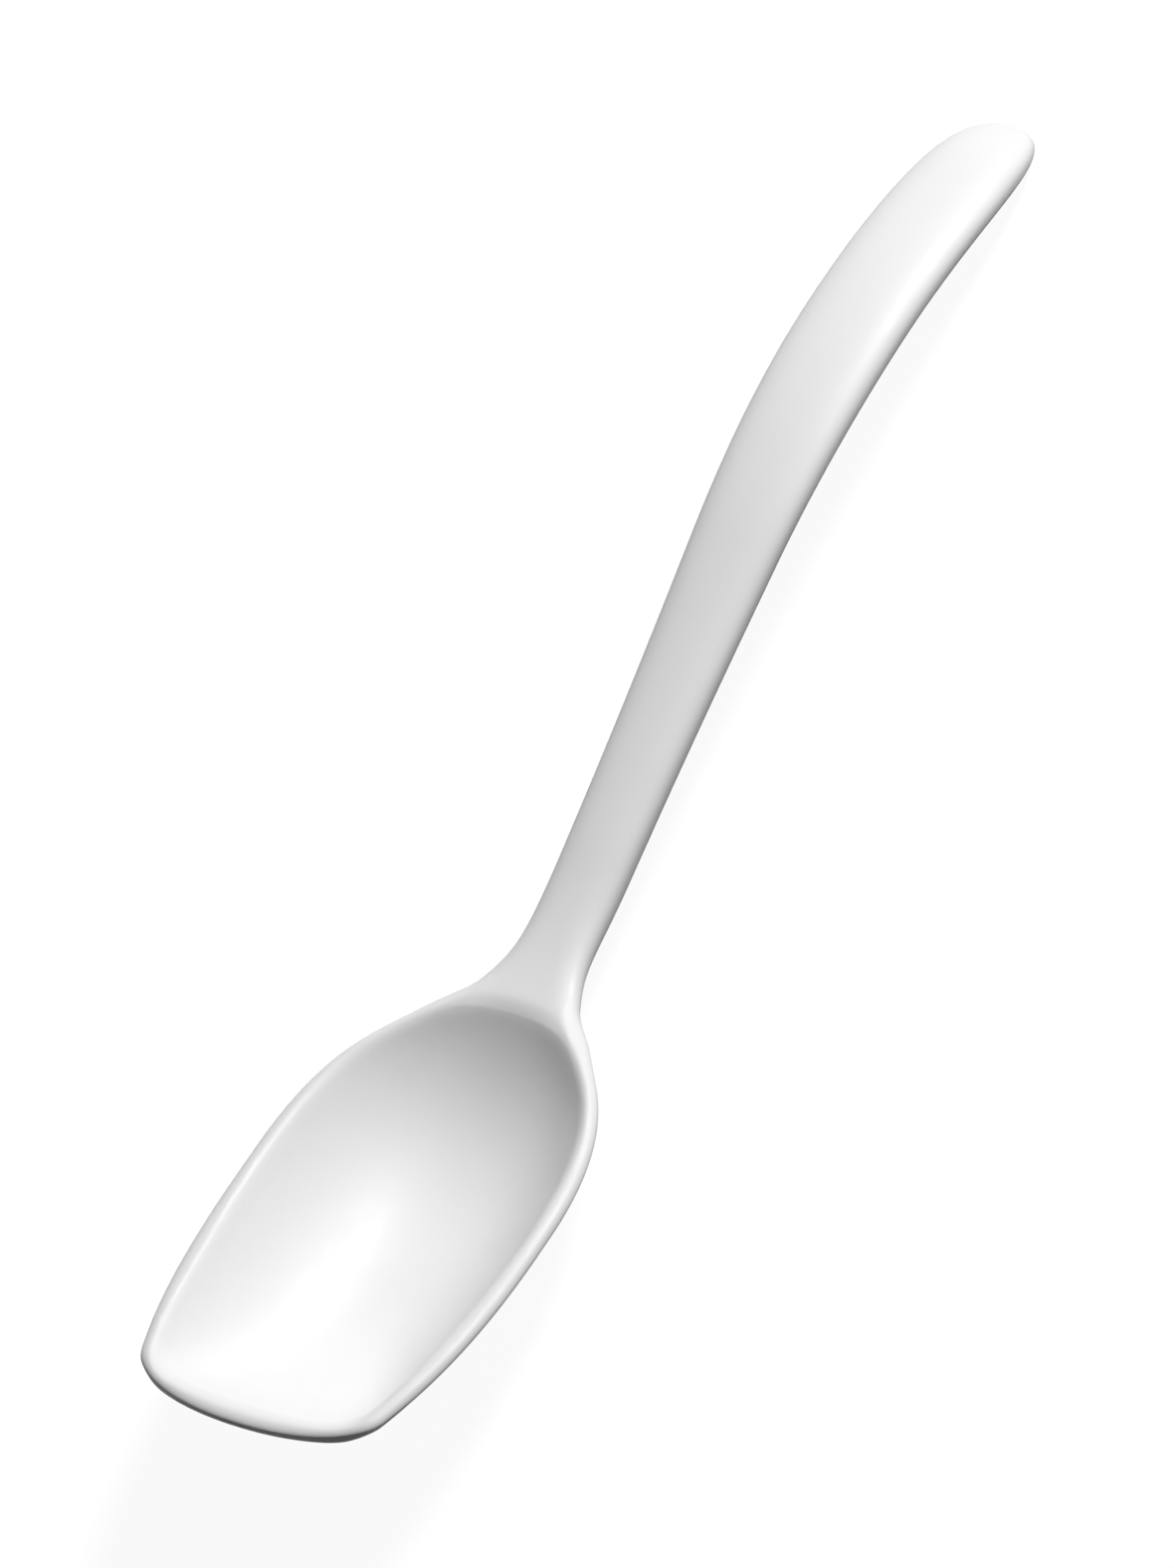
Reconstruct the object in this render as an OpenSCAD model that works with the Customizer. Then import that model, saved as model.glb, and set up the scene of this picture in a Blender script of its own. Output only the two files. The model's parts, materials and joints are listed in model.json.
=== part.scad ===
// Spoon-shaped spatula with a dished bowl, a squared front lip and an S-curved handle.
// It is one white moulding, divided at its natural boundaries into solids that meet face to face.
// Shapes are worked out with the bowl level: x runs from the front lip to the end of the handle,
// y to the side, and z up from the lowest place of the parting line, the line round the whole edge.
// The finished shape is then laid down, so that the bowl and the end of the handle rest on a table.

/* [Bowl] */
// Width of the bowl over the rim
bowl_w = 56.4; // [52:0.2:60]
// Distance from the front lip to the widest place of the bowl
widest_x = 50.5; // [46:0.5:54]
// Distance from the front lip to the deepest place of the bowl
deepest_x = 41.3; // [38:0.1:46]
// Depth of the bowl below the top of the rim
bowl_depth = 15.8; // [11:0.2:17]
// Distance from the front lip to the back of the hollow
hollow_back = 86.3; // [85:0.1:88]
// Thickness of the floor of the bowl
floor_t = 2.6; // [2:0.1:4]
// Thickness added to the wall, measured upright, from the floor to the rim
wall_gain = 1.4; // [0.6:0.1:2]

/* [Front lip] */
// Width of the lip, between the middles of its two rounded corners
lip_w = 39; // [36:0.2:41]
// How far the corners lie behind the middle of the lip
lip_bow = 4.3; // [3:0.1:5]
// Height of the lip above the parting line
lip_up = 1.1; // [0.8:0.1:1.6]
// Height of the lip below the parting line
lip_down = 1.9; // [1.2:0.1:2.4]
// Distance from the front over which the lip's heights turn into those of the rim
lip_fade = 17.5; // [12:0.5:30]

/* [Rim] */
// Width of the rim seen from above
rim_w = 2.8; // [2.4:0.1:3.2]
// Width of the rounding at the outer edge of the rim
rim_round = 2; // [1.6:0.1:2.4]
// Height of the rim above the parting line
rim_up = 1.4; // [1.1:0.1:1.8]
// Height of the rim below the parting line
rim_down = 1; // [0.8:0.1:1.6]
// Slope of the rim's gentle dip, at the front lip
dip_angle = 4.8; // [0:0.2:6]

/* [Neck] */
// Distance from the front lip to the narrowest place
neck_x = 105.2; // [101:0.1:109]
// Width of the narrowest place
neck_w = 13; // [12:0.2:16]

/* [Handle] */
// Length of the part, from the front lip to the end of the handle
length = 254; // [240:1:275]
// Distance from the front lip to the start of the grip, where the arch begins
grip_x = 165.5; // [158:0.5:172]
// Width where the grip begins
shank_w = 16.1; // [15:0.1:18]
// Widest place of the grip
grip_widest_x = 207; // [200:1:215]
// Width of the grip at its widest place
grip_w = 18.6; // [17.4:0.2:22]
// Height of the handle above the parting line
handle_up = 3.6; // [2.5:0.1:4.5]
// Height of the handle below the parting line
handle_down = 2.6; // [1.8:0.1:3.4]
// Slope of the straight rising part of the handle
rise_angle = 19.4; // [15:0.1:22]
// Downward slope at the end of the handle
tip_angle = 15.5; // [8:0.5:20]
// Length of the rounding at the end of the handle
tip_round = 13.7; // [9:0.1:16]

/* [Hidden] */

melamine_white = [0.92, 0.92, 0.92];

// Half outline from above: place, half width, heading, pull before and pull after the point
lip_middle = [0, 0, 90, 0, 10.2];
lip_corner = [lip_bow, lip_w / 2, 56, 3.9, 4.1];
side_start = [10.7, bowl_w / 2 - 4.3, 17.3, 3.2, 16.4];
side_widest = [widest_x, bowl_w / 2, 0, 6.1, 20.5];
back_shoulder = [82.6, 16.6, -38, 6.7, 5.8];
neck_start = [91, 9.3, -25.3, 2.9, 5.1];
neck_narrow = [neck_x, neck_w / 2, 0, 7.6, 24.4];
grip_start = [grip_x, shank_w / 2, 2.5, 16.1, 11];
grip_widest = [grip_widest_x, grip_w / 2, 0, 16.9, 33.9];
tip = [length, 0, -90, 9.9, 0];

// Slope of the parting line along the part
rise_from = 88;
rise_to = 113.1;
slopes = [
    [0, -tan(dip_angle)],
    [rise_from, tan(dip_angle)],
    [rise_to, tan(rise_angle)],
    [grip_x, tan(rise_angle)],
    [length, -tan(tip_angle)]
];

// The section changes from the rim's bead to the full crown of the handle between these places
crown_from = 68.5;
crown_to = 118.6;
rim_power = 1.9;
handle_power = 2.45;
least_half = 0.01;

// Shape of the hollow
front_power = 2.25;
back_power = 3.15;
side_power = 2.35;
hollow_taper = 3.3;
taper_power = 1.75;
closing_power = 5.3;
closing_x = hollow_back + 7.3;
front_square = 5.1;
square_from = -13.5;
lip_curve = 0.005;
side_blend = 1.6;
back_blend = 2;
blend_from = 72.8;
blend_to = 97.7;
under_blend = 1.4;
inner_side_pull = 5;
inner_back_pull = 6.5;
least_share = -2;
least_closing = 0.01;

// Rows of points: inward from the edge over its rounding, and outward over the floor of the bowl
edge_rows = [1.8, 1.35, 0.95, 0.6, 0.3, 0.08, 0];
floor_rows = [0.16, 0.34, 0.5, 0.64, 0.76, 0.86, 0.94];
rounding = edge_rows[0];
last_edge = len(edge_rows) - 1;

// Numbers of steps along each stretch of the outline
lip_steps = 7;
corner_steps = 6;
side_steps = 9;
shoulder_steps = 9;
fillet_steps = 4;
half_neck_steps = 4;
neck_steps = 7;
shank_steps = 8;
grip_steps = 8;
end_steps = 12;

function heading(angle) = [cos(angle), sin(angle)];
function mix(a, b, t) = a + (b - a) * t;
function limit(t) = min(1, max(0, t));
function ease(x, from, to) = let (t = limit((x - from) / (to - from))) t * t * (3 - 2 * t);

// Lower of two heights, with the crease between them rounded off
function soft_min(a, b, blend) =
    let (h = limit(0.5 + 0.5 * (b - a) / blend)) mix(b, a, h) - blend * h * (1 - h);

// Profile of a rounded edge: 0 at the edge and 1 where the rounding ends
function rounded(s, power) = pow(1 - pow(1 - limit(s), power), 1 / power);

// Point of the outline between two of its named points, and its direction of travel there
function start_pull(a) = [a[0], a[1]] + a[4] * heading(a[2]);
function end_pull(b) = [b[0], b[1]] - b[3] * heading(b[2]);
function outline(a, b, t) =
    pow(1 - t, 3) * [a[0], a[1]] + 3 * pow(1 - t, 2) * t * start_pull(a)
    + 3 * (1 - t) * t * t * end_pull(b) + t * t * t * [b[0], b[1]];
function travel(a, b, t) =
    let (
        p0 = [a[0], a[1]],
        p3 = [b[0], b[1]],
        d = pow(1 - t, 2) * (start_pull(a) - p0) + 2 * (1 - t) * t * (end_pull(b) - start_pull(a))
            + t * t * (p3 - end_pull(b))
    ) d / norm(d);

// Height of the parting line: its slope summed from the front lip
function climb(x, i = 0) =
    i > len(slopes) - 2 || x <= slopes[i][0] ? 0
    : let (to = min(x, slopes[i + 1][0]))
      (to - slopes[i][0]) * (slopes[i][1] + lookup(to, slopes)) / 2 + climb(x, i + 1);
function edge_z(x) = climb(x) - climb(rise_from / 2);

// Top and underside of the rim and handle, e being the distance in from the edge
function crowned(x) = ease(x, crown_from, crown_to);
function end_round(x) = let (s = limit((x - length + tip_round) / tip_round)) sqrt(1 - s * s);
function bulge(x, e, half) =
    let (width = mix(rim_round, max(half, least_half), crowned(x)))
    end_round(x) * rounded(e / width, mix(rim_power, handle_power, crowned(x)));
function height(x, lip, rim, handle) = mix(mix(lip, rim, ease(x, 0, lip_fade)), handle, crowned(x));
function land(x, e, half) = edge_z(x) + height(x, lip_up, rim_up, handle_up) * bulge(x, e, half);
function under(x, e, half) = edge_z(x) - height(x, lip_down, rim_down, handle_down) * bulge(x, e, half);

// Depth of the hollow as a share of its full depth: 1 at the deepest place and 0 at the rim
function hollow_half(x) =
    let (w = bowl_w / 2 - rim_w)
    x < widest_x
    ? w - hollow_taper * pow((widest_x - x) / (widest_x - side_start[0]), taper_power)
    : w * sqrt(max(least_closing, 1 - pow((x - widest_x) / (closing_x - widest_x), closing_power)));
function hollow_share(x, y) =
    let (
        lip_x = rim_w + lip_curve * y * y,
        along = x < deepest_x
            ? pow((deepest_x - x) / (deepest_x - lip_x), front_power)
            : pow((x - deepest_x) / (hollow_back - deepest_x), back_power),
        across = pow(abs(y) / hollow_half(x), side_power),
        square = mix(front_square, 1, ease(x, square_from, deepest_x))
    ) 1 - pow(pow(along, square) + pow(across, square), 1 / square);
function hollow(x, y) = edge_z(x) + rim_up - bowl_depth * max(least_share, hollow_share(x, y));
function top(x, y, e, half) =
    soft_min(hollow(x, y), land(x, e, half), mix(side_blend, back_blend, ease(x, blend_from, blend_to)));
function bottom(x, y, e, half) =
    soft_min(
        hollow(x, y) - floor_t - wall_gain * (1 - limit(hollow_share(x, y))),
        under(x, e, half),
        under_blend
    );

// Columns round half of the bowl: outer point, direction inward, and inner point of the rim
function inward(d) = [d[1], -d[0]];
function bowl_column(a, b, t) =
    let (p = outline(a, b, t), d = inward(travel(a, b, t))) [p, d, p + rim_w * d];
function stretch(a, b, steps) = [for (i = [0 : steps - 1]) bowl_column(a, b, i / steps)];
side_columns = concat(
    stretch(lip_middle, lip_corner, lip_steps),
    stretch(lip_corner, side_start, corner_steps),
    stretch(side_start, side_widest, side_steps),
    stretch(side_widest, back_shoulder, shoulder_steps),
    [bowl_column(side_widest, back_shoulder, 1)]
);

// Behind the shoulder, the inner edge closes round the hollow and the outer edge runs into the neck
back_steps = fillet_steps + half_neck_steps;
shoulder_inner = side_columns[len(side_columns) - 1][2];
inner_from = [shoulder_inner[0], shoulder_inner[1], back_shoulder[2], 0, inner_side_pull];
inner_to = [hollow_back, 0, -90, inner_back_pull, 0];
function back_inner(i) = outline(inner_from, inner_to, i / back_steps);
fillet_columns = [
    for (i = [1 : fillet_steps])
        let (
            t = i / fillet_steps,
            turned = mix(inward(heading(back_shoulder[2])), [0, -1], t)
        ) [outline(back_shoulder, neck_start, t), turned / norm(turned), back_inner(i)]
];
rounded_columns = concat(side_columns, fillet_columns);
lip_columns = lip_steps + corner_steps;
last_rounded = len(rounded_columns) - 1;
last_column = last_rounded + half_neck_steps;

// Points of one rounded column, from the inner edge over the top and round to the underside
function over(p, e, half) = [p[0], p[1], top(p[0], p[1], e, half)];
function beneath(p, e, half) = [p[0], p[1], bottom(p[0], p[1], e, half)];
function rounded_loop(c) =
    let (
        half = c[0][1],
        rows = [for (e = edge_rows) c[0] + e * c[1]],
        middle = mix(c[2], rows[0], 0.5),
        inner_e = norm(c[2] - c[0]),
        middle_e = mix(inner_e, rounding, 0.5)
    ) concat(
        [over(c[2], inner_e, half), over(middle, middle_e, half)],
        [for (k = [0 : last_edge - 1]) over(rows[k], edge_rows[k], half)],
        [[c[0][0], c[0][1], edge_z(c[0][0])]],
        [for (k = [last_edge - 1 : -1 : 0]) beneath(rows[k], edge_rows[k], half)],
        [beneath(middle, middle_e, half), beneath(c[2], inner_e, half)]
    );

// Points of one column that ends at the flat face where the neck begins
function flat_loop(i) =
    let (
        half = neck_start[1],
        y = (half - rounding) * (1 - i / half_neck_steps),
        face = [neck_start[0], y],
        inner = back_inner(fillet_steps + i),
        middle = mix(inner, face, 0.5),
        inner_e = norm(inner - [neck_start[0], half]),
        middle_e = mix(inner_e, half - y, 0.5),
        high = top(face[0], y, half - y, half),
        low = bottom(face[0], y, half - y, half)
    ) concat(
        [over(inner, inner_e, half), over(middle, middle_e, half)],
        [for (k = [0 : 2 * last_edge]) [face[0], y, mix(high, low, k / (2 * last_edge))]],
        [beneath(middle, middle_e, half), beneath(inner, inner_e, half)]
    );
half_loops = concat(
    [for (c = rounded_columns) rounded_loop(c)],
    [for (i = [1 : half_neck_steps]) flat_loop(i)]
);
row_count = len(half_loops[0]);
function mirrored(loop) = [for (p = loop) [p[0], -p[1], p[2]]];

// Loops of the lip, the rim and the bowl
lip_loops = concat(
    [for (k = [lip_columns : -1 : 1]) mirrored(half_loops[k])],
    [for (k = [0 : lip_columns]) half_loops[k]]
);
rim_loops = concat(
    [for (k = [lip_columns : last_column]) half_loops[k]],
    [for (k = [last_column - 1 : -1 : lip_columns]) mirrored(half_loops[k])]
);
round_loops = concat(
    half_loops,
    [for (k = [last_column - 1 : -1 : 1]) mirrored(half_loops[k])]
);
far = 100;
centre = [deepest_x, 0];
function floor_ring(share) = [
    for (l = round_loops)
        let (p = mix(centre, [l[0][0], l[0][1]], share)) over(p, far, far)
];
function under_ring(share) = [
    for (l = round_loops)
        let (p = mix(centre, [l[0][0], l[0][1]], share)) beneath(p, far, far)
];
floor_count = len(floor_rows);
bowl_loops = concat(
    [for (s = floor_rows) under_ring(s)],
    [[for (l = round_loops) l[row_count - 1]], [for (l = round_loops) l[0]]],
    [for (k = [floor_count - 1 : -1 : 0]) floor_ring(floor_rows[k])]
);

// One loop across the handle at a point of the outline
function handle_loop(p) =
    let (
        half = p[1],
        edge = min(1, half / (2 * rounding)),
        rows = [for (e = edge_rows) half - e * edge],
        inside = rows[0],
        ys = [for (i = [1 : 2 * half_neck_steps - 1]) inside * (1 - i / half_neck_steps)],
        left = concat(
            [for (k = [0 : last_edge - 1]) over([p[0], rows[k]], edge_rows[k] * edge, half)],
            [[p[0], half, edge_z(p[0])]],
            [for (k = [last_edge - 1 : -1 : 0]) beneath([p[0], rows[k]], edge_rows[k] * edge, half)]
        ),
        right = mirrored([for (k = [2 * last_edge : -1 : 0]) left[k]])
    ) concat(
        left,
        [for (y = ys) beneath([p[0], y], half - abs(y), half)],
        right,
        [for (k = [len(ys) - 1 : -1 : 0]) over([p[0], ys[k]], half - abs(ys[k]), half)]
    );
function handle_run(a, b, steps, last) =
    [for (i = [0 : last]) handle_loop(outline(a, b, i / steps))];
neck_loops = handle_run(neck_start, neck_narrow, neck_steps, neck_steps);
shank_loops = handle_run(neck_narrow, grip_start, shank_steps, shank_steps);
grip_loops = concat(
    handle_run(grip_start, grip_widest, grip_steps, grip_steps - 1),
    handle_run(grip_widest, tip, end_steps, end_steps - 1)
);
tip_point = [length, 0, edge_z(length)];

// Lay the part down: find the slope of the table that touches both the bowl and the grip
bowl_points = [for (l = bowl_loops) each l];
grip_points = [for (l = grip_loops) each l];
function stands(p, angle) = p[2] * cos(angle) - p[0] * sin(angle);
function lies(p, angle) = p[0] * cos(angle) + p[2] * sin(angle);
function lowest(points, angle) =
    let (heights = [for (p = points) stands(p, angle)])
    points[search(min(heights), heights)[0]];
function table(angle, rounds) =
    rounds == 0 ? angle
    : let (b = lowest(bowl_points, angle), g = lowest(grip_points, angle))
      table(atan2(g[2] - b[2], g[0] - b[0]), rounds - 1);
first_angle = 10;
lay_rounds = 6;
table_angle = table(first_angle, lay_rounds);
table_z = stands(lowest(bowl_points, table_angle), table_angle);
lying_xs = [for (l = concat(lip_loops, grip_loops, [[tip_point]])) each [for (p = l) lies(p, table_angle)]];
middle_x = (min(lying_xs) + max(lying_xs)) / 2;
function placed(p) = [lies(p, table_angle) - middle_x, p[1], stands(p, table_angle) - table_z];

// Closed skin over a stack of loops, with each end drawn in to a point: the tip of a closed shape,
// or the middle of a flat face
function middle(loop) = [for (row = loop) 1] * loop / len(loop);
module skin(loops, first_point = undef, last_point = undef) {
    n = len(loops[0]);
    m = len(loops);
    ends = [
        is_undef(first_point) ? middle(loops[0]) : first_point,
        is_undef(last_point) ? middle(loops[m - 1]) : last_point
    ];
    first_index = n * m;
    last_loop = n * (m - 1);
    sides = [
        for (i = [0 : m - 2])
            for (j = [0 : n - 1])
                let (a = i * n + j, b = i * n + (j + 1) % n)
                each [[a, b, b + n], [a, b + n, a + n]]
    ];
    caps = [
        for (j = [0 : n - 1])
            let (k = (j + 1) % n)
            each [[first_index, k, j], [first_index + 1, last_loop + j, last_loop + k]]
    ];
    points = [for (p = concat([for (l = loops) each l], ends)) placed(p)];
    polyhedron(points, concat(sides, caps), convexity = 6);
}

module bowl() {
    color(melamine_white)
        skin(bowl_loops, beneath(centre, far, far), over(centre, far, far));
}

module front_lip() {
    color(melamine_white) skin(lip_loops);
}

module rim() {
    color(melamine_white) skin(rim_loops);
}

module neck() {
    color(melamine_white) skin(neck_loops);
}

module shank() {
    color(melamine_white) skin(shank_loops);
}

module grip() {
    color(melamine_white) skin(grip_loops, last_point = tip_point);
}

bowl();
front_lip();
rim();
neck();
shank();
grip();
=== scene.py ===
"""Looks of a spoon-shaped spatula: one white glossy moulding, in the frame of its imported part.

The surface is worked out in millimetres with the bowl level: x runs from the front lip to the end of
the handle, y to the side and z up. It is then laid on the floor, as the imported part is, in metres.
"""

import json
import math
from collections import namedtuple

import bpy
import numpy as np
from mathutils import Matrix, Vector


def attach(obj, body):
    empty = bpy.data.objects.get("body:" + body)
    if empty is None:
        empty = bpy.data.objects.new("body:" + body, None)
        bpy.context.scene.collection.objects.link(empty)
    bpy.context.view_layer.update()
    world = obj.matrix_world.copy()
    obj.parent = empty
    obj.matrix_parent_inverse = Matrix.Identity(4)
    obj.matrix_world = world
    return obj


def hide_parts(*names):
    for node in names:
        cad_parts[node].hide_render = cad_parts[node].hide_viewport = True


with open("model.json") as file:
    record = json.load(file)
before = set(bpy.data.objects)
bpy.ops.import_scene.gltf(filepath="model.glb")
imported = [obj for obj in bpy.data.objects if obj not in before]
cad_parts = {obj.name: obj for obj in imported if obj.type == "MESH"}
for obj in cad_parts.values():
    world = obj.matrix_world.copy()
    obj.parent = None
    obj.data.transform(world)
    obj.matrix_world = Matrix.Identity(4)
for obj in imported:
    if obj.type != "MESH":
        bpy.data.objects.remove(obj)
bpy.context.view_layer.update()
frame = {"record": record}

MM = 0.001

# Bowl
BOWL_W = 56.4
WIDEST_X = 50.5
DEEPEST_X = 41.3
BOWL_DEPTH = 15.8
HOLLOW_BACK = 86.3
FLOOR_T = 2.6
WALL_GAIN = 1.4

# Front lip
LIP_W = 39.0
LIP_BOW = 4.3
LIP_UP = 1.1
LIP_DOWN = 1.9
LIP_FADE = 17.5

# Rim
RIM_W = 2.8
RIM_ROUND = 2.0
RIM_UP = 1.4
RIM_DOWN = 1.0
DIP_ANGLE = 4.8

# Neck
NECK_X = 105.2
NECK_W = 13.0

# Handle
LENGTH = 254.0
GRIP_X = 165.5
SHANK_W = 16.1
GRIP_WIDEST_X = 207.0
GRIP_W = 18.6
HANDLE_UP = 3.6
HANDLE_DOWN = 2.6
RISE_ANGLE = 19.4
TIP_ANGLE = 15.5
TIP_ROUND = 13.7

# Half outline from above: place, half width, heading, pull before and pull after the point
Knot = namedtuple("Knot", "x half heading before after")
LIP_MIDDLE = Knot(0, 0, 90, 0, 10.2)
LIP_CORNER = Knot(LIP_BOW, LIP_W / 2, 56, 3.9, 4.1)
SIDE_START = Knot(10.7, BOWL_W / 2 - 4.3, 17.3, 3.2, 16.4)
SIDE_WIDEST = Knot(WIDEST_X, BOWL_W / 2, 0, 6.1, 20.5)
BACK_SHOULDER = Knot(82.6, 16.6, -38, 6.7, 5.8)
NECK_START = Knot(91, 9.3, -25.3, 2.9, 5.1)
NECK_NARROW = Knot(NECK_X, NECK_W / 2, 0, 7.6, 24.4)
GRIP_START = Knot(GRIP_X, SHANK_W / 2, 2.5, 16.1, 11)
GRIP_WIDEST = Knot(GRIP_WIDEST_X, GRIP_W / 2, 0, 16.9, 33.9)
TIP = Knot(LENGTH, 0, -90, 9.9, 0)

# Slope of the parting line, the line round the whole edge, along the part
RISE_FROM = 88.0
RISE_TO = 113.1
SLOPE_X = np.array([0, RISE_FROM, RISE_TO, GRIP_X, LENGTH])
SLOPES = np.tan(np.radians([-DIP_ANGLE, DIP_ANGLE, RISE_ANGLE, RISE_ANGLE, -TIP_ANGLE]))

# The section changes from the rim's bead to the full crown of the handle between these places
CROWN_FROM = 68.5
CROWN_TO = 118.6
RIM_POWER = 1.9
HANDLE_POWER = 2.45
LEAST_HALF = 0.01

# Shape of the hollow
FRONT_POWER = 2.25
BACK_POWER = 3.15
SIDE_POWER = 2.35
HOLLOW_TAPER = 3.3
TAPER_POWER = 1.75
CLOSING_POWER = 5.3
CLOSING_X = HOLLOW_BACK + 7.3
FRONT_SQUARE = 5.1
SQUARE_FROM = -13.5
LIP_CURVE = 0.005
SIDE_BLEND = 1.6
BACK_BLEND = 2.0
BLEND_FROM = 72.8
BLEND_TO = 97.7
UNDER_BLEND = 1.4
INNER_SIDE_PULL = 5.0
INNER_BACK_PULL = 6.5
LEAST_SHARE = -2.0
LEAST_CLOSING = 0.01

# Fineness of the mesh: steps along the outline, over the rounded edge and over the floor of the bowl
LIP_STEPS = 22
CORNER_STEPS = 18
SIDE_STEPS = 34
SHOULDER_STEPS = 34
FILLET_STEPS = 14
HALF_NECK_STEPS = 12
NECK_STEPS = 22
SHANK_STEPS = 40
GRIP_STEPS = 34
END_STEPS = 44
EDGE_STEPS = 14
LAND_STEPS = 4
FLOOR_STEPS = 44
RING_POWER = 1.5
ROUNDING = 1.8
FAR = 100.0
LAY_ROUNDS = 8
WELD = 1e-7
TINY = 1e-30

# Finish of the moulding
SLOT = "melamine"
IOR = 1.5
SPECULAR = 0.5
CLOUD_SHADE = 0.985
CLOUD_SCALE = 45
CLOUD_DETAIL = 3
CLOUD_RANGE = (0.35, 0.65)
ROUGHNESS = 0.5
ROUGHNESS_SPREAD = 0.05
RUB_SCALE = 700
RUB_DETAIL = 4
RUB_STRETCH = (0.06, 1, 1)
RUB_RANGE = (0.3, 0.7)
PEEL_DEPTH = 0.02
PEEL_STRENGTH = 0.12
PEEL_SCALE = 900
PEEL_DETAIL = 2

# View: angles in degrees, the point in the middle of the frame and the frame's height there, in metres,
# and the width of the sensor in millimetres
VIEW_AZIMUTH = -27.63
VIEW_ELEVATION = 53.62
VIEW_ROLL = -40.02
VIEW_DISTANCE = 8.0
VIEW_CENTRE = (-0.00314, 0.00664, 0.01393)
VIEW_HEIGHT = 0.24625
SENSOR_WIDTH = 36.0
CLIP_END = 100.0

# Light: directions that it comes from, strength at the part, and sizes in metres
KEY_FROM = (0.645, -0.224, 0.730)
KEY_STRENGTH = 3.1
KEY_DISTANCE = 2.0
KEY_SIZE = 0.5
FILL_FROM = (0, 0, 1)
FILL_DISTANCE = 1.0
FILL_STRENGTH = 0.04
FILL_SPREAD = 140.0
AMBIENT = 0.004
FLOOR_REACH = 4.0
FLOOR_GLOW = 0.94
FLOOR_SHADE = 0.12


def mix(a, b, t):
    return a + (b - a) * t


def ease(x, start, stop):
    t = np.clip((x - start) / (stop - start), 0, 1)
    return t * t * (3 - 2 * t)


def soft_min(a, b, blend):
    """Lower of two heights, with the crease between them rounded off."""
    h = np.clip(0.5 + 0.5 * (b - a) / blend, 0, 1)
    return mix(b, a, h) - blend * h * (1 - h)


def rounded(s, power):
    """Profile of a rounded edge: 0 at the edge and 1 where the rounding ends."""
    return (1 - (1 - np.clip(s, 0, 1)) ** power) ** (1 / power)


def heading(angle):
    return np.array([math.cos(math.radians(angle)), math.sin(math.radians(angle))])


def outline(a, b, t):
    """Points of the outline from knot a to knot b, and its direction of travel at each."""
    t = np.asarray(t, float)[:, None]
    p0 = np.array([a.x, a.half])
    p3 = np.array([b.x, b.half])
    p1 = p0 + a.after * heading(a.heading)
    p2 = p3 - b.before * heading(b.heading)
    points = (1 - t) ** 3 * p0 + 3 * (1 - t) ** 2 * t * p1 + 3 * (1 - t) * t**2 * p2 + t**3 * p3
    travel = (1 - t) ** 2 * (p1 - p0) + 2 * (1 - t) * t * (p2 - p1) + t**2 * (p3 - p2)
    return points, travel / np.linalg.norm(travel, axis=1, keepdims=True)


def climb(x):
    """Rise of the parting line from the front lip: the sum of its slope."""
    total = np.zeros_like(x)
    for start, stop in zip(SLOPE_X[:-1], SLOPE_X[1:]):
        to = np.clip(x, start, stop)
        total += (to - start) * (np.interp(start, SLOPE_X, SLOPES) + np.interp(to, SLOPE_X, SLOPES)) / 2
    return total


def edge_z(x):
    """Height of the parting line, from its lowest place."""
    x = np.asarray(x, float)
    return climb(x) - climb(np.array(RISE_FROM / 2))


def crowned(x):
    return ease(x, CROWN_FROM, CROWN_TO)


def end_round(x):
    s = np.clip((x - LENGTH + TIP_ROUND) / TIP_ROUND, 0, 1)
    return np.sqrt(1 - s * s)


def bulge(x, e, half):
    """Share of its full height that the section has at the distance e in from the edge."""
    width = mix(RIM_ROUND, np.maximum(half, LEAST_HALF), crowned(x))
    return end_round(x) * rounded(e / width, mix(RIM_POWER, HANDLE_POWER, crowned(x)))


def height(x, lip, rim, handle):
    """Full height of the section on one side of the parting line, given those of the three regions."""
    return mix(mix(lip, rim, ease(x, 0, LIP_FADE)), handle, crowned(x))


def land(x, e, half):
    """Top of the rim and handle, e being the distance in from the edge."""
    return edge_z(x) + height(x, LIP_UP, RIM_UP, HANDLE_UP) * bulge(x, e, half)


def under(x, e, half):
    """Underside of the rim and handle."""
    return edge_z(x) - height(x, LIP_DOWN, RIM_DOWN, HANDLE_DOWN) * bulge(x, e, half)


def hollow_half(x):
    """Half width of the hollow."""
    wide = BOWL_W / 2 - RIM_W
    ahead = np.maximum(0, WIDEST_X - x) / (WIDEST_X - SIDE_START.x)
    behind = np.maximum(0, x - WIDEST_X) / (CLOSING_X - WIDEST_X)
    closing = wide * np.sqrt(np.maximum(LEAST_CLOSING, 1 - behind**CLOSING_POWER))
    return np.where(x < WIDEST_X, wide - HOLLOW_TAPER * ahead**TAPER_POWER, closing)


def hollow_share(x, y):
    """Depth of the hollow as a share of its full depth: 1 at the deepest place and 0 at the rim."""
    lip_x = RIM_W + LIP_CURVE * y * y
    front = (np.maximum(0, DEEPEST_X - x) / (DEEPEST_X - lip_x)) ** FRONT_POWER
    back = (np.maximum(0, x - DEEPEST_X) / (HOLLOW_BACK - DEEPEST_X)) ** BACK_POWER
    along = np.where(x < DEEPEST_X, front, back)
    across = (np.abs(y) / hollow_half(x)) ** SIDE_POWER
    square = mix(FRONT_SQUARE, 1, ease(x, SQUARE_FROM, DEEPEST_X))
    return 1 - (along**square + across**square) ** (1 / square)


def hollow(x, y):
    return edge_z(x) + RIM_UP - BOWL_DEPTH * np.maximum(LEAST_SHARE, hollow_share(x, y))


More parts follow.
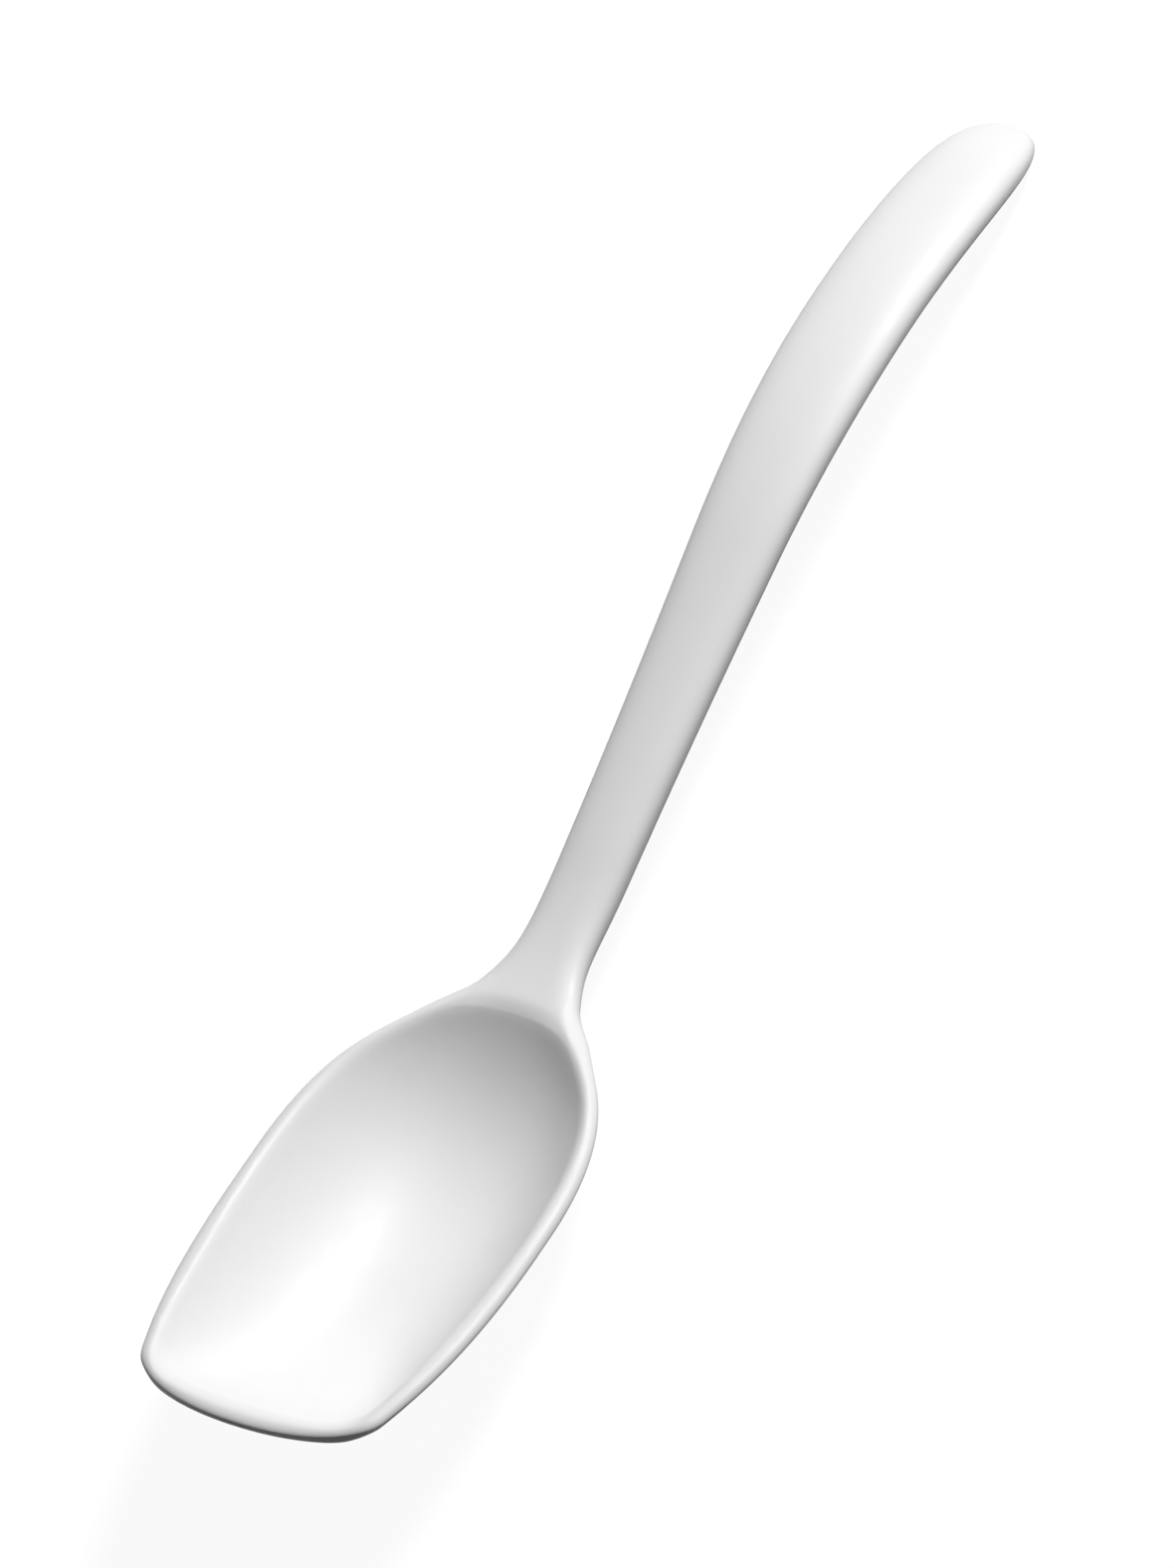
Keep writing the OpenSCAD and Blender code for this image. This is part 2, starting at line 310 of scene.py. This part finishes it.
def top(xy, e, half):
    """Points of the upper surface over places xy."""
    x, y = xy[..., 0], xy[..., 1]
    blend = mix(SIDE_BLEND, BACK_BLEND, ease(x, BLEND_FROM, BLEND_TO))
    return np.stack([x, y, soft_min(hollow(x, y), land(x, e, half), blend)], -1)


def bottom(xy, e, half):
    """Points of the underside below places xy."""
    x, y = xy[..., 0], xy[..., 1]
    wall = FLOOR_T + WALL_GAIN * (1 - np.clip(hollow_share(x, y), 0, 1))
    return np.stack([x, y, soft_min(hollow(x, y) - wall, under(x, e, half), UNDER_BLEND)], -1)


def edge_rows():
    """Distances in from the edge, closer together where the edge is round."""
    return ROUNDING * np.linspace(1, 0, EDGE_STEPS + 1) ** 2


def mirrored(points):
    return points * np.array([1, -1, 1])


def rounded_columns(outer, inward, inner):
    """Columns of points across the rim: over the top from the inner edge, round the edge and back below."""
    half = outer[:, 1][:, None]
    e_edge = np.broadcast_to(edge_rows(), (len(outer), EDGE_STEPS + 1))
    edge_xy = outer[:, None] + e_edge[..., None] * inward[:, None]
    t = np.linspace(0, 1, LAND_STEPS, endpoint=False)
    e_inner = np.linalg.norm(inner - outer, axis=1)[:, None]
    land_xy = mix(inner[:, None], edge_xy[:, :1], t[:, None])
    land_e = mix(e_inner, ROUNDING, t)
    xy = np.concatenate([land_xy, edge_xy], 1)
    e = np.concatenate([land_e, e_edge], 1)
    over = top(xy, e, half)
    over[:, -1, 2] = edge_z(outer[:, 0])
    below = bottom(xy[:, :-1], e[:, :-1], half)
    return np.concatenate([over, below[:, ::-1]], 1)


def flat_columns(inner):
    """Columns of points behind the hollow, which end at the flat face where the neck begins."""
    half = NECK_START.half
    y = (half - ROUNDING) * (1 - np.arange(1, HALF_NECK_STEPS + 1) / HALF_NECK_STEPS)
    face = np.stack([np.full_like(y, NECK_START.x), y], 1)
    t = np.linspace(0, 1, LAND_STEPS + 1)
    e_inner = np.linalg.norm(inner - np.array([NECK_START.x, half]), axis=1)[:, None]
    xy = mix(inner[:, None], face[:, None], t[:, None])
    e = mix(e_inner, (half - y)[:, None], t)
    over = top(xy, e, half)
    below = bottom(xy, e, half)
    down = np.linspace(0, 1, 2 * EDGE_STEPS + 1)[1:-1]
    front = mix(over[:, -1:], below[:, -1:], down[:, None])
    return np.concatenate([over, front, below[:, ::-1]], 1)


def rim_columns():
    """Columns round the whole bowl, from the middle of the lip round to the lip again."""
    stretches = [
        (LIP_MIDDLE, LIP_CORNER, LIP_STEPS),
        (LIP_CORNER, SIDE_START, CORNER_STEPS),
        (SIDE_START, SIDE_WIDEST, SIDE_STEPS),
        (SIDE_WIDEST, BACK_SHOULDER, SHOULDER_STEPS),
    ]
    points, travel = [], []
    for a, b, steps in stretches:
        last = b is BACK_SHOULDER
        p, d = outline(a, b, np.linspace(0, 1, steps + 1)[: steps + last])
        points.append(p)
        travel.append(d)
    outer = np.concatenate(points)
    direction = np.concatenate(travel)
    inward = np.stack([direction[:, 1], -direction[:, 0]], 1)
    inner = outer + RIM_W * inward

    back_steps = FILLET_STEPS + HALF_NECK_STEPS
    inner_from = Knot(inner[-1, 0], inner[-1, 1], BACK_SHOULDER.heading, 0, INNER_SIDE_PULL)
    inner_to = Knot(HOLLOW_BACK, 0, -90, INNER_BACK_PULL, 0)
    back_inner = outline(inner_from, inner_to, np.arange(1, back_steps + 1) / back_steps)[0]
    t = np.arange(1, FILLET_STEPS + 1) / FILLET_STEPS
    fillet_outer = outline(BACK_SHOULDER, NECK_START, t)[0]
    turned = mix(inward[-1], np.array([0, -1]), t[:, None])
    turned = turned / np.linalg.norm(turned, axis=1, keepdims=True)

    half_round = np.concatenate([
        rounded_columns(outer, inward, inner),
        rounded_columns(fillet_outer, turned, back_inner[:FILLET_STEPS]),
        flat_columns(back_inner[FILLET_STEPS:]),
    ])
    return np.concatenate([half_round, mirrored(half_round[-2:0:-1])])


def bowl_rings(columns):
    """Rings of points over the bowl: up its underside to the rim, and down its hollow to the middle."""
    centre = np.array([DEEPEST_X, 0])
    rim_xy = columns[:, 0, :2]
    shares = 1 - (1 - np.arange(1, FLOOR_STEPS) / FLOOR_STEPS) ** RING_POWER
    xy = mix(centre, rim_xy[None], shares[:, None, None])
    below = bottom(xy, FAR, FAR)
    over = top(xy, FAR, FAR)
    return np.concatenate([below, columns[None, :, -1], columns[None, :, 0], over[::-1]])


def handle_loops(a, b, steps, stop):
    """Loops of points across the handle from knot a to knot b."""
    points = outline(a, b, np.arange(stop) / steps)[0]
    x, half = points[:, :1], points[:, 1:]
    shrink = np.minimum(1, half / (2 * ROUNDING))
    e = edge_rows() * shrink
    inside = (half - e[:, :1]) * (1 - np.arange(1, 2 * HALF_NECK_STEPS) / HALF_NECK_STEPS)

    def at(y):
        return np.stack([np.broadcast_to(x, y.shape), y], -1)

    over = top(at(half - e), e, half)
    over[:, -1, 2] = edge_z(x[:, 0])
    below = bottom(at(half - e[:, :-1]), e[:, :-1], half)
    left = np.concatenate([over, below[:, ::-1]], 1)
    floor = bottom(at(inside), half - np.abs(inside), half)
    crown = top(at(inside), half - np.abs(inside), half)
    return np.concatenate([left, floor, mirrored(left[:, ::-1]), crown[:, ::-1]], 1)


def shell(loops, first=None, last=None):
    """Grid of a closed skin over a stack of loops, and which of its steps show.

    Each end is drawn in to a point: a tip that is given, or the middle of a face inside the moulding.
    """
    tips = [loops[k].mean(0) if tip is None else tip for k, tip in ((0, first), (-1, last))]
    ends = [np.broadcast_to(tip, (1,) + loops.shape[1:]) for tip in tips]
    grid = np.concatenate([ends[0], loops, ends[1]])
    shown = np.ones((len(grid) - 1, loops.shape[1]), bool)
    shown[0] = first is not None
    shown[-1] = last is not None
    return grid, shown


def rim_shell(columns):
    """Skin of a stretch of the rim. Its inner wall and its face on the neck lie inside the moulding."""
    grid, shown = shell(columns)
    shown[:, -1] = False
    flat = np.isclose(grid[..., 0], NECK_START.x)
    flat_step = flat[:-1] & flat[1:]
    shown &= ~(flat_step & np.roll(flat_step, -1, axis=1))
    return grid, shown


def bowl_shell(columns):
    """Skin of the bowl. Its wall on the rim lies inside the moulding."""
    centre = np.array([DEEPEST_X, 0])
    grid, shown = shell(bowl_rings(columns), bottom(centre, FAR, FAR), top(centre, FAR, FAR))
    shown[FLOOR_STEPS] = False
    return grid, shown


def moulding():
    """Skins of all the pieces, with the bowl level, in millimetres."""
    columns = rim_columns()
    corner = LIP_STEPS + CORNER_STEPS
    grip = np.concatenate([
        handle_loops(GRIP_START, GRIP_WIDEST, GRIP_STEPS, GRIP_STEPS),
        handle_loops(GRIP_WIDEST, TIP, END_STEPS, END_STEPS),
    ])
    return {
        "bowl": bowl_shell(columns),
        "front_lip": rim_shell(np.concatenate([columns[-corner:], columns[: corner + 1]])),
        "rim": rim_shell(columns[corner : len(columns) - corner + 1]),
        "neck": shell(handle_loops(NECK_START, NECK_NARROW, NECK_STEPS, NECK_STEPS + 1)),
        "shank": shell(handle_loops(NECK_NARROW, GRIP_START, SHANK_STEPS, SHANK_STEPS + 1)),
        "grip": shell(grip, last=np.array([LENGTH, 0, edge_z(LENGTH)])),
    }


def laid_down(shells):
    """The pieces laid on the floor, on the bowl and the end of the grip, in metres."""
    angle = 0.0
    for _ in range(LAY_ROUNDS):
        low = []
        for name in ("bowl", "grip"):
            points = shells[name][0].reshape(-1, 3)
            heights = points[:, 2] * math.cos(angle) - points[:, 0] * math.sin(angle)
            low.append(points[heights.argmin()])
        angle = math.atan2(low[1][2] - low[0][2], low[1][0] - low[0][0])
    turn = np.array(Matrix.Rotation(angle, 3, "Y"))
    turned = {name: grid @ turn.T for name, (grid, shown) in shells.items()}
    everything = np.concatenate([grid.reshape(-1, 3) for grid in turned.values()])
    lowest, highest = everything.min(0), everything.max(0)
    origin = np.array([(lowest[0] + highest[0]) / 2, 0, lowest[2]])
    return {name: ((grid - origin) * MM, shells[name][1]) for name, grid in turned.items()}


def welded(shells):
    """Shared points of all the pieces, their smooth normals, and each piece's faces as point numbers."""
    grids = [grid for grid, shown in shells.values()]
    stacked = np.concatenate([grid.reshape(-1, 3) for grid in grids])
    _, first, number = np.unique(
        np.round(stacked / WELD), axis=0, return_index=True, return_inverse=True
    )
    points = stacked[first]
    number = number.ravel()
    faces = {}
    start = 0
    for name, (grid, shown) in shells.items():
        index = number[start : start + grid.shape[0] * grid.shape[1]].reshape(grid.shape[:2])
        start += index.size
        beside = np.roll(index, -1, axis=1)
        faces[name] = np.stack([index[:-1], index[1:], beside[1:], beside[:-1]], -1).reshape(-1, 4)
    normals = np.zeros_like(points)
    for name, (grid, shown) in shells.items():
        outside = faces[name][shown.ravel()]
        for corner in range(4):
            np.add.at(normals, outside[:, corner], face_normals(points, outside))
    lengths = np.linalg.norm(normals, axis=1, keepdims=True)
    return points, normals / np.maximum(lengths, TINY), faces


def face_normals(points, quads):
    """Normals of quads, as long as twice their areas."""
    a, b, c, d = (points[quads[:, k]] for k in range(4))
    return np.cross(c - a, d - b)


def make_piece(name, points, normals, quads, shown, material):
    """One closed mesh that takes the place of a node, shaded without a seam to its neighbours."""
    flat = face_normals(points, quads)
    real = np.linalg.norm(flat, axis=1) > 0
    quads, shown, flat = quads[real], shown[real], flat[real]
    used = np.unique(quads)
    local = {number: k for k, number in enumerate(used)}
    faces = []
    corner_normals = []
    for quad, outside, normal in zip(quads.tolist(), shown, flat):
        corners = list(dict.fromkeys(quad))
        faces.append([local[number] for number in corners])
        for number in corners:
            corner_normals.append(normals[number] if outside else normal / np.linalg.norm(normal))
    mesh = bpy.data.meshes.new(name)
    mesh.from_pydata(points[used].tolist(), [], faces)
    mesh.polygons.foreach_set("use_smooth", [True] * len(faces))
    mesh.normals_split_custom_set(corner_normals)
    mesh.materials.append(material)
    piece = bpy.data.objects.new("moulded_" + name, mesh)
    bpy.context.scene.collection.objects.link(piece)
    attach(piece, "root")
    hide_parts(name)


def link(tree, source, output, target, socket):
    tree.links.new(source.outputs[output], target.inputs[socket])


def noise(tree, coordinates, scale, detail, stretch=(1, 1, 1)):
    """Noise in the part's own coordinates, in metres, drawn out where stretch is small."""
    mapping = tree.nodes.new("ShaderNodeMapping")
    mapping.inputs["Scale"].default_value = stretch
    texture = tree.nodes.new("ShaderNodeTexNoise")
    texture.inputs["Scale"].default_value = scale
    texture.inputs["Detail"].default_value = detail
    link(tree, coordinates, "Object", mapping, "Vector")
    link(tree, mapping, "Vector", texture, "Vector")
    return texture


def in_range(tree, texture, low, high):
    """The texture's middle range spread from low to high, as a roughness."""
    node = tree.nodes.new("ShaderNodeMapRange")
    node.inputs["From Min"].default_value = RUB_RANGE[0]
    node.inputs["From Max"].default_value = RUB_RANGE[1]
    node.inputs["To Min"].default_value = low
    node.inputs["To Max"].default_value = high
    link(tree, texture, "Fac", node, "Value")
    return node


def melamine():
    """White glossy melamine: a faint clouding, fine rub marks along the part and a slight orange peel."""
    white = next(m["base_color"] for m in frame["record"]["materials"] if m["slot"] == SLOT)
    material = bpy.data.materials.new("white_melamine")
    material.use_nodes = True
    tree = material.node_tree
    shader = tree.nodes["Principled BSDF"]
    shader.inputs["IOR"].default_value = IOR
    shader.inputs["Specular IOR Level"].default_value = SPECULAR
    coordinates = tree.nodes.new("ShaderNodeTexCoord")

    clouds = tree.nodes.new("ShaderNodeValToRGB")
    clouds.color_ramp.elements[0].position = CLOUD_RANGE[0]
    clouds.color_ramp.elements[0].color = [c * CLOUD_SHADE for c in white[:3]] + [1]
    clouds.color_ramp.elements[1].position = CLOUD_RANGE[1]
    clouds.color_ramp.elements[1].color = list(white[:3]) + [1]
    link(tree, noise(tree, coordinates, CLOUD_SCALE, CLOUD_DETAIL), "Fac", clouds, "Fac")
    link(tree, clouds, "Color", shader, "Base Color")

    rubbed = noise(tree, coordinates, RUB_SCALE, RUB_DETAIL, RUB_STRETCH)
    roughness = in_range(tree, rubbed, ROUGHNESS - ROUGHNESS_SPREAD, ROUGHNESS + ROUGHNESS_SPREAD)
    link(tree, roughness, "Result", shader, "Roughness")

    bump = tree.nodes.new("ShaderNodeBump")
    bump.inputs["Strength"].default_value = PEEL_STRENGTH
    bump.inputs["Distance"].default_value = PEEL_DEPTH * MM
    link(tree, noise(tree, coordinates, PEEL_SCALE, PEEL_DETAIL), "Fac", bump, "Height")
    link(tree, bump, "Normal", shader, "Normal")
    return material


def seen_directly(tree):
    """1 for rays from the camera, or to it by gloss or glass, and 0 for the light that surfaces scatter."""
    path = tree.nodes.new("ShaderNodeLightPath")
    seen = path.outputs["Is Camera Ray"]
    for kind in ("Is Glossy Ray", "Is Transmission Ray"):
        either = tree.nodes.new("ShaderNodeMath")
        either.operation = "MAXIMUM"
        tree.links.new(seen, either.inputs[0])
        tree.links.new(path.outputs[kind], either.inputs[1])
        seen = either.outputs["Value"]
    return seen


def make_floor():
    """White floor that keeps the part's soft shadow, and throws little light back up."""
    material = bpy.data.materials.new("white_floor")
    material.use_nodes = True
    tree = material.node_tree
    tree.nodes.clear()
    output = tree.nodes.new("ShaderNodeOutputMaterial")
    lit = tree.nodes.new("ShaderNodeBsdfDiffuse")
    lit.inputs["Color"].default_value = (FLOOR_SHADE, FLOOR_SHADE, FLOOR_SHADE, 1)
    strength = tree.nodes.new("ShaderNodeMapRange")
    strength.inputs["To Max"].default_value = FLOOR_GLOW
    tree.links.new(seen_directly(tree), strength.inputs["Value"])
    glow = tree.nodes.new("ShaderNodeEmission")
    link(tree, strength, "Result", glow, "Strength")
    white = tree.nodes.new("ShaderNodeAddShader")
    link(tree, lit, "BSDF", white, 0)
    link(tree, glow, "Emission", white, 1)
    link(tree, white, "Shader", output, "Surface")

    mesh = bpy.data.meshes.new("floor")
    corners = [(-1, -1), (1, -1), (1, 1), (-1, 1)]
    mesh.from_pydata([(x * FLOOR_REACH, y * FLOOR_REACH, 0) for x, y in corners], [], [(0, 1, 2, 3)])
    mesh.materials.append(material)
    floor = bpy.data.objects.new("floor", mesh)
    bpy.context.scene.collection.objects.link(floor)


def make_world():
    """White surroundings for the camera, and a dim even light on the part."""
    world = bpy.data.worlds.new("studio")
    bpy.context.scene.world = world
    world.use_nodes = True
    tree = world.node_tree
    background = tree.nodes["Background"]
    background.inputs["Color"].default_value = (1, 1, 1, 1)
    strength = tree.nodes.new("ShaderNodeMapRange")
    strength.inputs["To Min"].default_value = AMBIENT
    strength.inputs["To Max"].default_value = 1.0
    tree.links.new(seen_directly(tree), strength.inputs["Value"])
    link(tree, strength, "Result", background, "Strength")


def aim_lamp(lamp, towards, distance):
    lamp_object = bpy.data.objects.new(lamp.name, lamp)
    lamp_object.rotation_mode = "QUATERNION"
    lamp_object.rotation_quaternion = Vector(towards).to_track_quat("Z", "Y")
    lamp_object.location = Vector(towards) * distance
    lamp_object.visible_camera = False
    bpy.context.scene.collection.objects.link(lamp_object)


def make_key():
    """Round soft lamp behind the end of the handle, which it lights most."""
    lamp = bpy.data.lights.new("key", "AREA")
    lamp.shape = "DISK"
    lamp.size = KEY_SIZE
    lamp.energy = KEY_STRENGTH * math.pi * KEY_DISTANCE**2
    aim_lamp(lamp, KEY_FROM, KEY_DISTANCE)


def make_fill():
    """Faint wide light from above."""
    lamp = bpy.data.lights.new("fill", "SUN")
    lamp.energy = FILL_STRENGTH
    lamp.angle = math.radians(FILL_SPREAD)
    aim_lamp(lamp, FILL_FROM, FILL_DISTANCE)


def make_camera():
    """Camera at the photograph's angle, far off, with the part rolled in the frame as it is there."""
    azimuth, elevation, roll = (math.radians(a) for a in (VIEW_AZIMUTH, VIEW_ELEVATION, VIEW_ROLL))
    back = Vector((
        math.sin(azimuth) * math.cos(elevation),
        -math.cos(azimuth) * math.cos(elevation),
        math.sin(elevation),
    ))
    camera = bpy.data.cameras.new("camera")
    camera.sensor_fit = "AUTO"
    camera.sensor_width = SENSOR_WIDTH
    camera.lens = SENSOR_WIDTH * VIEW_DISTANCE / VIEW_HEIGHT
    camera.clip_end = CLIP_END
    camera_object = bpy.data.objects.new("camera", camera)
    camera_object.rotation_mode = "QUATERNION"
    level = (-back).to_track_quat("-Z", "Y")
    camera_object.rotation_quaternion = level @ Matrix.Rotation(roll, 3, "Z").to_quaternion()
    camera_object.location = Vector(VIEW_CENTRE) + back * VIEW_DISTANCE
    bpy.context.scene.collection.objects.link(camera_object)
    bpy.context.scene.camera = camera_object


def main():
    bpy.context.scene.view_settings.view_transform = "Standard"
    make_camera()
    material = melamine()
    shells = laid_down(moulding())
    points, normals, faces = welded(shells)
    for name, (grid, shown) in shells.items():
        make_piece(name, points, normals, faces[name], shown.ravel(), material)
    make_floor()
    make_world()
    make_key()
    make_fill()


main()
